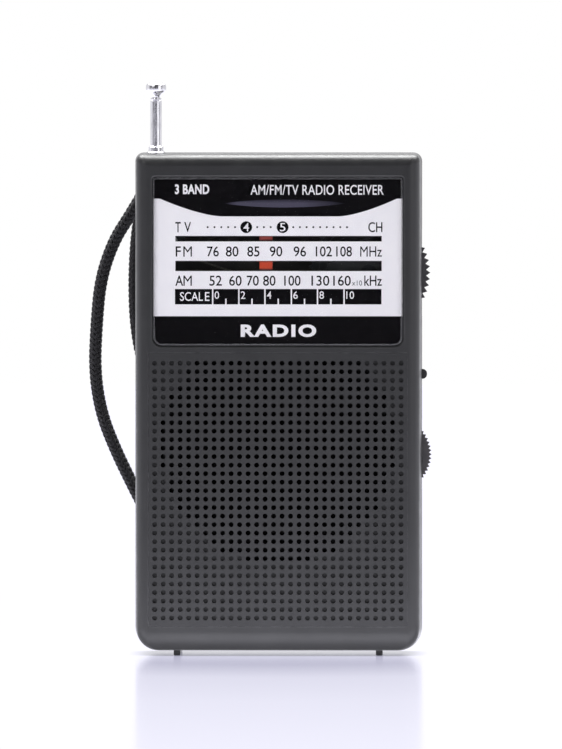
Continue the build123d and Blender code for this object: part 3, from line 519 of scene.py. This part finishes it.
def pressed(name, bm, look):
    """A flat drawing in x and z, given thickness towards the viewer."""
    flat = list(bm.faces)
    bmesh.ops.recalc_face_normals(bm, faces=flat)
    grown = bmesh.ops.extrude_face_region(bm, geom=flat)
    for v in grown["geom"]:
        if isinstance(v, bmesh.types.BMVert):
            v.co.y -= INK * MM
    bmesh.ops.recalc_face_normals(bm, faces=list(bm.faces))
    mesh = bpy.data.meshes.new(name)
    bm.to_mesh(mesh)
    bm.free()
    paint(enter(name, mesh, "root", smooth=False), look)


def inked(name, loops, y, look):
    """Printed areas: closed loops of (x, z), where a loop inside another is a hole in it."""
    bm = bmesh.new()
    for loop in loops:
        verts = [bm.verts.new(at(x, y, z)) for x, z in loop]
        for a, b in zip(verts, verts[1:] + verts[:1]):
            bm.edges.new((a, b))
    bmesh.ops.triangle_fill(bm, edges=list(bm.edges), use_beauty=True, normal=(0, -1, 0))
    pressed(name, bm, look)


def rectangle(x0, x1, z0, z1):
    return [(x0, z0), (x1, z0), (x1, z1), (x0, z1)]


def disc(x, z, r, sides=32):
    """Points round a circle."""
    turn = 2 * math.pi / sides
    return [(x + r * math.cos(k * turn), z + r * math.sin(k * turn)) for k in range(sides)]


def letters(bm, text, x0, x1, z0, z1, y, bold=0.0, spacing=1.0):
    """Adds text that fills the box from (x0, z0) to (x1, z1)."""
    curve = bpy.data.curves.new("text", "FONT")
    curve.body, curve.offset, curve.space_character = text, bold, spacing
    curve.resolution_u = 4
    holder = bpy.data.objects.new("text", curve)
    mesh = bpy.data.meshes.new_from_object(holder)
    xs, zs = [v.co.x for v in mesh.vertices], [v.co.y for v in mesh.vertices]
    wide, high = (x1 - x0) / (max(xs) - min(xs)), (z1 - z0) / (max(zs) - min(zs))
    for v in mesh.vertices:
        v.co = at(x0 + (v.co.x - min(xs)) * wide, y, z0 + (v.co.y - min(zs)) * high)
    bm.from_mesh(mesh)
    bpy.data.objects.remove(holder)
    bpy.data.curves.remove(curve)
    bpy.data.meshes.remove(mesh)


def lettering(name, y, look, words, **style):
    """Printed words, each (text, x0, x1, z0, z1)."""
    bm = bmesh.new()
    for word in words:
        letters(bm, *word, y, **style)
    bmesh.ops.remove_doubles(bm, verts=bm.verts, dist=SAME_POINT)
    pressed(name, bm, look)


def centred(rows, z0, z1):
    """(text, middle x, width) rows, as words between z0 and z1."""
    return [(text, x - w / 2, x + w / 2, z0, z1) for text, x, w in rows]


SLOT_LEFT, SLOT_RIGHT = -25.1, 25.4
UPPER_SLOT, LOWER_SLOT = (100.15, 101.5), (92.9, 95.4)
FIELD_LEFT, FIELD_RIGHT = -30.4, 30.4
FIELD_BOTTOM, FIELD_TOP, FIELD_DIP = 81.84, 110.62, 106.29


def dipping(x_edge, x_start, x_end, steps=14):
    """The white field's top edge: level, then easing down to the dip in a long curve."""
    points = [(x_edge, FIELD_TOP)]
    for k in range(steps + 1):
        t = k / steps
        drop = (FIELD_TOP - FIELD_DIP) * (1 - (1 - t) ** 1.5)
        points.append((x_start + (x_end - x_start) * t, FIELD_TOP - drop))
    return points


field = [(FIELD_LEFT, FIELD_BOTTOM), (FIELD_RIGHT, FIELD_BOTTOM)]
field += dipping(FIELD_RIGHT, 29.1, 15.0) + dipping(FIELD_LEFT, -28.9, -13.9)[::-1]
field_holes = [rectangle(SLOT_LEFT, SLOT_RIGHT, *slot) for slot in (UPPER_SLOT, LOWER_SLOT)]
inked("dial_field", [field] + field_holes, LAYER_1, paper_white)

SCALE_LOW, SCALE_HIGH = 84.75, 88.5
TICKS = [-15.96, -9.55, -3.17, 3.3, 9.7, 16.2]
HALF_TICKS = [(a + b) / 2 + 0.02 for a, b in zip(TICKS, TICKS[1:])]
TICK_HALF, HALF_TICK_HEIGHT = 0.17, 1.4
DISCS = ((-7.75, "4"), (1.16, "5"))
DOTS = [-17.2 + 1.675 * k for k in range(5)] + [-5.07 + 1.65 * k for k in range(3)]
DOTS += [3.75 + 1.645 * k for k in range(9)]
DISC_Z, DISC_R, DOT_R, DIGIT_HALF = 103.65, 1.44, 0.25, 1.02
TV_Z, FM_Z, AM_Z, SCALE_Z = (102.4, 104.9), (96.45, 98.95), (89.3, 91.8), (86.1, 87.95)

inked("dial_scale_bar", [rectangle(-25.2, 25.35, SCALE_LOW, SCALE_HIGH)], LAYER_2, ink_black)
inked("dial_discs", [disc(x, DISC_Z, DISC_R) for x, _ in DISCS], LAYER_2, ink_black)
inked("dial_dots", [disc(x, DISC_Z, DOT_R, sides=12) for x in DOTS], LAYER_2, ink_dots)
lettering(
    "dial_figures",
    LAYER_2,
    ink_black,
    centred([("T", -24.45, 1.35), ("V", -22.1, 1.65), ("CH", 23.85, 3.45)], *TV_Z)
    + centred([("F", -24.4, 1.25)], *FM_Z)
    + centred([("A", -24.15, 1.9), ("kHz", 23.3, 4.3)], *AM_Z)
    + centred(
        [("76", -15.9, 2.9), ("80", -11.2, 3.1), ("85", -6.0, 3.0), ("90", -0.45, 3.05)]
        + [("96", 5.38, 3.05), ("102", 11.25, 3.95), ("108", 16.2, 3.85)],
        *FM_Z,
    )
    + centred(
        [("52", -15.25, 3.05), ("60", -10.4, 3.05), ("70", -6.15, 2.95), ("80", -2.1, 3.05)]
        + [("100", 3.55, 4.0), ("130", 10.4, 4.4), ("160", 15.7, 4.3)],
        *AM_Z,
    ),
    bold=0.008,
)
lettering(
    "dial_figures_wide",
    LAYER_2,
    ink_black,
    centred([("M", -22.1, 2.1), ("MHz", 22.8, 5.3)], *FM_Z) + centred([("M", -22.1, 2.05)], *AM_Z),
)
lettering("dial_times_ten", LAYER_2, ink_grey, [("x10", 18.15, 20.6, 89.35, 90.6)])
marks = []
for places, top in ((TICKS, SCALE_HIGH), (HALF_TICKS, SCALE_LOW + HALF_TICK_HEIGHT)):
    marks += [rectangle(x - TICK_HALF, x + TICK_HALF, SCALE_LOW, top) for x in places]
inked("dial_ticks", marks, LAYER_3, paper_white)
lettering(
    "dial_reversed_figures",
    LAYER_3,
    paper_white,
    centred([(n, x, 1.4) for x, n in DISCS], DISC_Z - DIGIT_HALF, DISC_Z + DIGIT_HALF)
    + centred([(str(2 * k), x + 1.02, 1.12) for k, x in enumerate(TICKS[:5])], *SCALE_Z)
    + centred([("SCAL", -21.15, 5.6), ("E", -17.3, 1.1)], 85.6, 87.75)
    + centred([("10", TICKS[5] + 1.5, 1.9)], *SCALE_Z),
    bold=0.004,
)
for name, word, bold, spacing in (
    ("dial_band_count", ("3 BAND", -25.2, -16.8, 111.7, 114.15), 0.034, 1.06),
    ("dial_title", ("AM/FM/TV RADIO RECEIVER", -6.7, 25.9, 111.55, 114.0), 0.008, 1.04),
    ("dial_word", ("RADIO", -9.1, 9.4, 76.75, 79.85), 0.045, 1.2),
):
    lettering(name, LAYER_1, paper_white, [word], bold=bold, spacing=spacing)

# a painted reflection in the black band: a slate streak, widest in its middle
STREAK_X0, STREAK_X1, STREAK_Z = -13.0, 16.4, 109.45
STREAK_HALF, STREAK_TIP, STREAK_STEPS = 0.98, 0.01, 24
reflection_streak = []
for way in (-1, 1):
    for k in range(STREAK_STEPS + 1):
        t = k / STREAK_STEPS if way < 0 else 1 - k / STREAK_STEPS
        half = STREAK_HALF * math.sin(math.pi * t) ** 0.75 + STREAK_TIP
        reflection_streak.append((STREAK_X0 + (STREAK_X1 - STREAK_X0) * t, STREAK_Z + way * half))
inked("dial_reflection_streak", [reflection_streak], LAYER_1, slate_reflection)


# ---- the lens, with its bevelled rim ----------------------------------------------------------
LENS_TOP_R, LENS_BOTTOM_R, LEAST_R = 0.65, 2.15, 0.15


def lens_outline(x, z0, z1, inset, steps=8):
    """The window with its rounded corners, drawn in by `inset`."""
    points = []
    x, z0, z1 = x - inset, z0 + inset, z1 - inset
    for cx, cz, start in ((x, z1, 0), (-x, z1, 90), (-x, z0, 180), (x, z0, 270)):
        r = max((LENS_TOP_R if start < 180 else LENS_BOTTOM_R) - inset, LEAST_R)
        mx, mz = cx - math.copysign(r, cx), cz - r if start < 180 else cz + r
        for k in range(steps + 1):
            angle = math.radians(start + 90 * k / steps)
            points.append((mx + r * math.cos(angle), mz + r * math.sin(angle)))
    return points


lens_low, lens_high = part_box("dial_lens")
lens_x = (lens_high.x - lens_low.x) / 2 / MM
lens_z0, lens_z1 = ((v - DATUM_Z) / MM for v in (lens_low.z, lens_high.z))
lens_front, lens_back = lens_low.y / MM, lens_high.y / MM
# how far each ring of the rim is drawn in, and its depth behind the front face
RIM = ((0.0, lens_back - lens_front), (0.0, 0.42), (0.07, 0.22), (0.24, 0.06), (0.5, 0.0))
HIGHLIGHT_BAND = 2
lens_verts = []
for inset, depth in RIM:
    outline = lens_outline(lens_x, lens_z0, lens_z1, inset)
    lens_verts += [at(x, lens_front + depth, z) for x, z in outline]
around = len(lens_verts) // len(RIM)
lens_faces = ring_faces(len(RIM), around)
lens = new_piece("dial_lens_bevelled", lens_verts, lens_faces)
paint(lens, lens_look)
# the sloping band gets the painted highlight
lens.data.materials.append(bevel_highlight_look.material)
for face in lens.data.polygons:
    if face.index // around == HIGHLIGHT_BAND:
        face.material_index = 1
for flat_end in lens.data.polygons[-2:]:
    flat_end.use_smooth = False
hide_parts("dial_lens")


# ---- the antenna's knob -----------------------------------------------------------------------
# (radius, height) up the outside: the foot, the neck, the flare and then the dome
KNOB = [
    (0.02, 0.0), (1.25, 0.0), (1.33, 0.06), (1.35, 0.14), (1.33, 0.42), (1.25, 0.5), (1.02, 0.52),
    (1.02, 0.72), (1.08, 0.9), (1.25, 1.12), (1.6, 1.42), (2.05, 1.72), (2.35, 1.98), (2.47, 2.2),
    (2.5, 2.45),
]  # fmt: skip
DOME_R, DOME_RISE, DOME_Z, KNOB_TOP = 2.5, 1.2, 3.35, (0.02, 4.55)
KNOB_SIDES = 64

tip_low, tip_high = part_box("antenna_tip")
tip_centre = Vector(((tip_low.x + tip_high.x) / 2, (tip_low.y + tip_high.y) / 2, tip_low.z))
profile = KNOB[:]
for t in (math.radians(9 * k) for k in range(10)):
    profile.append((DOME_R * math.cos(t), DOME_Z + DOME_RISE * math.sin(t)))
profile.append(KNOB_TOP)
knob_verts = []
for r, z in profile:
    for x, y in disc(0, 0, r, KNOB_SIDES):
        knob_verts.append(tip_centre + Vector((x, y, z)) * MM)
knob_faces = ring_faces(len(profile), KNOB_SIDES)
knob = new_piece("antenna_knob", knob_verts, knob_faces, "antenna_4")
paint(knob, chrome_look)
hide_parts("antenna_tip")


# ---- the studio -------------------------------------------------------------------------------
def set_stops(node, stops):
    """Gives a new colour ramp its (place, colour) stops, which are in order."""
    elements = node.color_ramp.elements
    for k, (place, colour) in enumerate(stops):
        element = elements[k] if k < 2 else elements.new(place)
        element.position, element.color = place, colour


FLOOR_HALF = 3.0
FLOOR_REACH = 1.25
# metres from the radio's middle, and how much the floor mirrors there; its own glow is the rest
FLOOR_BANDS = ((0.0, 0.55), (0.055, 0.55), (0.11, 0.32), (0.21, 0.23), (0.38, 0.16), (1.2, 0.0))
FULL_GLOW = 1.02
POLISH = 0.14
CONTACT_REACH = 6 * MM
CONTACT_SHADE = (0.16, 0.16, 0.2, 1)

floor_mesh = bpy.data.meshes.new("floor")
corners = [(x * FLOOR_HALF, y * FLOOR_HALF, 0) for x, y in ((-1, -1), (1, -1), (1, 1), (-1, 1))]
floor_mesh.from_pydata(corners, [], [(0, 1, 2, 3)])
floor = bpy.data.objects.new("floor", floor_mesh)
bpy.context.scene.collection.objects.link(floor)

floor_look = Look("floor", (0.9, 0.9, 0.93, 1), 0.5)
distance = floor_look.add("ShaderNodeVectorMath", Vector=floor_look.where)
distance.operation = "LENGTH"
far = floor_look.remap(distance.outputs["Value"], 0, FLOOR_REACH)
mirror_ramp = floor_look.add("ShaderNodeValToRGB", Fac=far)
glow_ramp = floor_look.add("ShaderNodeValToRGB", Fac=far)
mirror_stops, glow_stops = [], []
for place, mirror in FLOOR_BANDS:
    own = FULL_GLOW - mirror
    mirror_stops.append((place / FLOOR_REACH, (mirror, mirror, mirror, 1)))
    glow_stops.append((place / FLOOR_REACH, (own, own - 0.005, own + 0.12, 1)))
set_stops(mirror_ramp, mirror_stops)
set_stops(glow_ramp, glow_stops)
# painted shadow: the floor's glow is painted down towards CONTACT_SHADE close around and under the
# radio
contact = floor_look.add("ShaderNodeAmbientOcclusion", Distance=CONTACT_REACH)
contact.samples = 8
open_air = floor_look.remap(contact.outputs["AO"], 0.22, 0.72)
glow_colour = floor_look.blend(open_air, CONTACT_SHADE, glow_ramp.outputs["Color"])
glow = floor_look.add("ShaderNodeEmission", Color=glow_colour)
polish = floor_look.add(
    "ShaderNodeBsdfAnisotropic", Color=mirror_ramp.outputs["Color"], Roughness=POLISH
)
seen_floor = floor_look.nodes.new("ShaderNodeAddShader")
floor_look.put(seen_floor.inputs[0], glow.outputs[0])
floor_look.put(seen_floor.inputs[1], polish.outputs[0])

# how strongly the floor lights the radio, by metres before or behind the radio's middle plane
BOUNCE_BANDS = (
    (0.0, 0.4), (0.0145, 0.6), (0.0185, 6.5), (0.03, 8.0), (0.05, 3.6), (0.1, 1.6), (0.3, 1.2),
)  # fmt: skip
BOUNCE_REACH, BOUNCE_PEAK = 0.3, 8.0
# gloss and glass see a plain bounce, and only a share of what matt surfaces get beyond it
PLAIN_BOUNCE, GLOSS_SHARE = 1.45, 0.3
floor_spot = floor_look.add("ShaderNodeSeparateXYZ", Vector=floor_look.where)
off_middle = floor_look.calculate("ABSOLUTE", floor_spot.outputs["Y"], 0.0)
bounce_ramp = floor_look.add(
    "ShaderNodeValToRGB", Fac=floor_look.remap(off_middle, 0, BOUNCE_REACH)
)
bounce_stops = []
for place, level in BOUNCE_BANDS:
    bounce_stops.append((place / BOUNCE_REACH, (*[level / BOUNCE_PEAK] * 3, 1)))
set_stops(bounce_ramp, bounce_stops)
floor_ray = floor_look.add("ShaderNodeLightPath")
matt_bounce = floor_look.product(bounce_ramp.outputs["Color"], BOUNCE_PEAK)
extra = floor_look.calculate("SUBTRACT", matt_bounce, PLAIN_BOUNCE)
share = floor_look.remap(floor_ray.outputs["Is Diffuse Ray"], 0, 1, GLOSS_SHARE, 1)
strength = floor_look.sum(floor_look.product(extra, share), PLAIN_BOUNCE)
bounce = floor_look.add("ShaderNodeEmission", Strength=strength, Color=(0.96, 0.96, 1.05, 1))
floor_mix = floor_look.add("ShaderNodeMixShader", Fac=floor_ray.outputs["Is Camera Ray"])
floor_look.put(floor_mix.inputs[1], bounce.outputs[0])
floor_look.put(floor_mix.inputs[2], seen_floor.outputs[0])
floor_look.put(floor_look.nodes["Material Output"].inputs["Surface"], floor_mix.outputs[0])
floor_mesh.materials.append(floor_look.material)

# the room's brightness from straight ahead of the radio, 0, to straight behind it, 1
ROOM_BANDS = (
    (0.06, 0.03), (0.13, 0.11), (0.2, 0.06), (0.3, 0.25), (0.42, 0.6), (0.55, 0.97), (0.8, 0.78),
    (0.94, 0.82), (0.985, 1.0),
)  # fmt: skip
world = bpy.data.worlds.new("studio")
bpy.context.scene.world = world
world.use_nodes = True
nodes, links = world.node_tree.nodes, world.node_tree.links
nodes.clear()
room_out = nodes.new("ShaderNodeOutputWorld")
backdrop, room = nodes.new("ShaderNodeBackground"), nodes.new("ShaderNodeBackground")
backdrop.inputs["Color"].default_value = (1, 1, 1, 1)
towards = nodes.new("ShaderNodeTexCoord")
direction = nodes.new("ShaderNodeSeparateXYZ")
links.new(towards.outputs["Generated"], direction.inputs[0])
front_to_back = nodes.new("ShaderNodeMapRange")
front_to_back.inputs["From Min"].default_value = -1.0
links.new(direction.outputs["Y"], front_to_back.inputs["Value"])
room_ramp = nodes.new("ShaderNodeValToRGB")
links.new(front_to_back.outputs["Result"], room_ramp.inputs["Fac"])
room_stops = [(0.0, (0.018, 0.018, 0.02, 1))]
room_stops += [(place, (level, level, level * 1.02, 1)) for place, level in ROOM_BANDS]
set_stops(room_ramp, room_stops + [(1.0, (1, 1, 1, 1))])
links.new(room_ramp.outputs["Color"], room.inputs["Color"])
ray = nodes.new("ShaderNodeLightPath")
choice = nodes.new("ShaderNodeMixShader")
links.new(ray.outputs["Is Camera Ray"], choice.inputs[0])
links.new(room.outputs[0], choice.inputs[1])
links.new(backdrop.outputs[0], choice.inputs[2])
links.new(choice.outputs[0], room_out.inputs["Surface"])


def area_light(name, place, aim, size, watts):
    data = bpy.data.lights.new(name, "AREA")
    data.shape, data.size, data.size_y = "RECTANGLE", *size
    data.energy = watts
    light = bpy.data.objects.new(name, data)
    light.location = place
    light.rotation_mode = "QUATERNION"
    light.rotation_quaternion = (Vector(aim) - Vector(place)).to_track_quat("-Z", "Y")
    bpy.context.scene.collection.objects.link(light)


middle = (cad_box[0] + cad_box[1]) / 2
area_light("key", (-0.5, -0.7, 0.62), middle, (0.5, 0.6), 2.3)
area_light("fill", (0.62, -0.7, 0.4), middle, (0.5, 0.7), 1.6)
area_light("overhead", (0.0, 0.16, 0.55), middle, (0.7, 0.35), 12.0)

bpy.context.scene.view_settings.view_transform = "Standard"
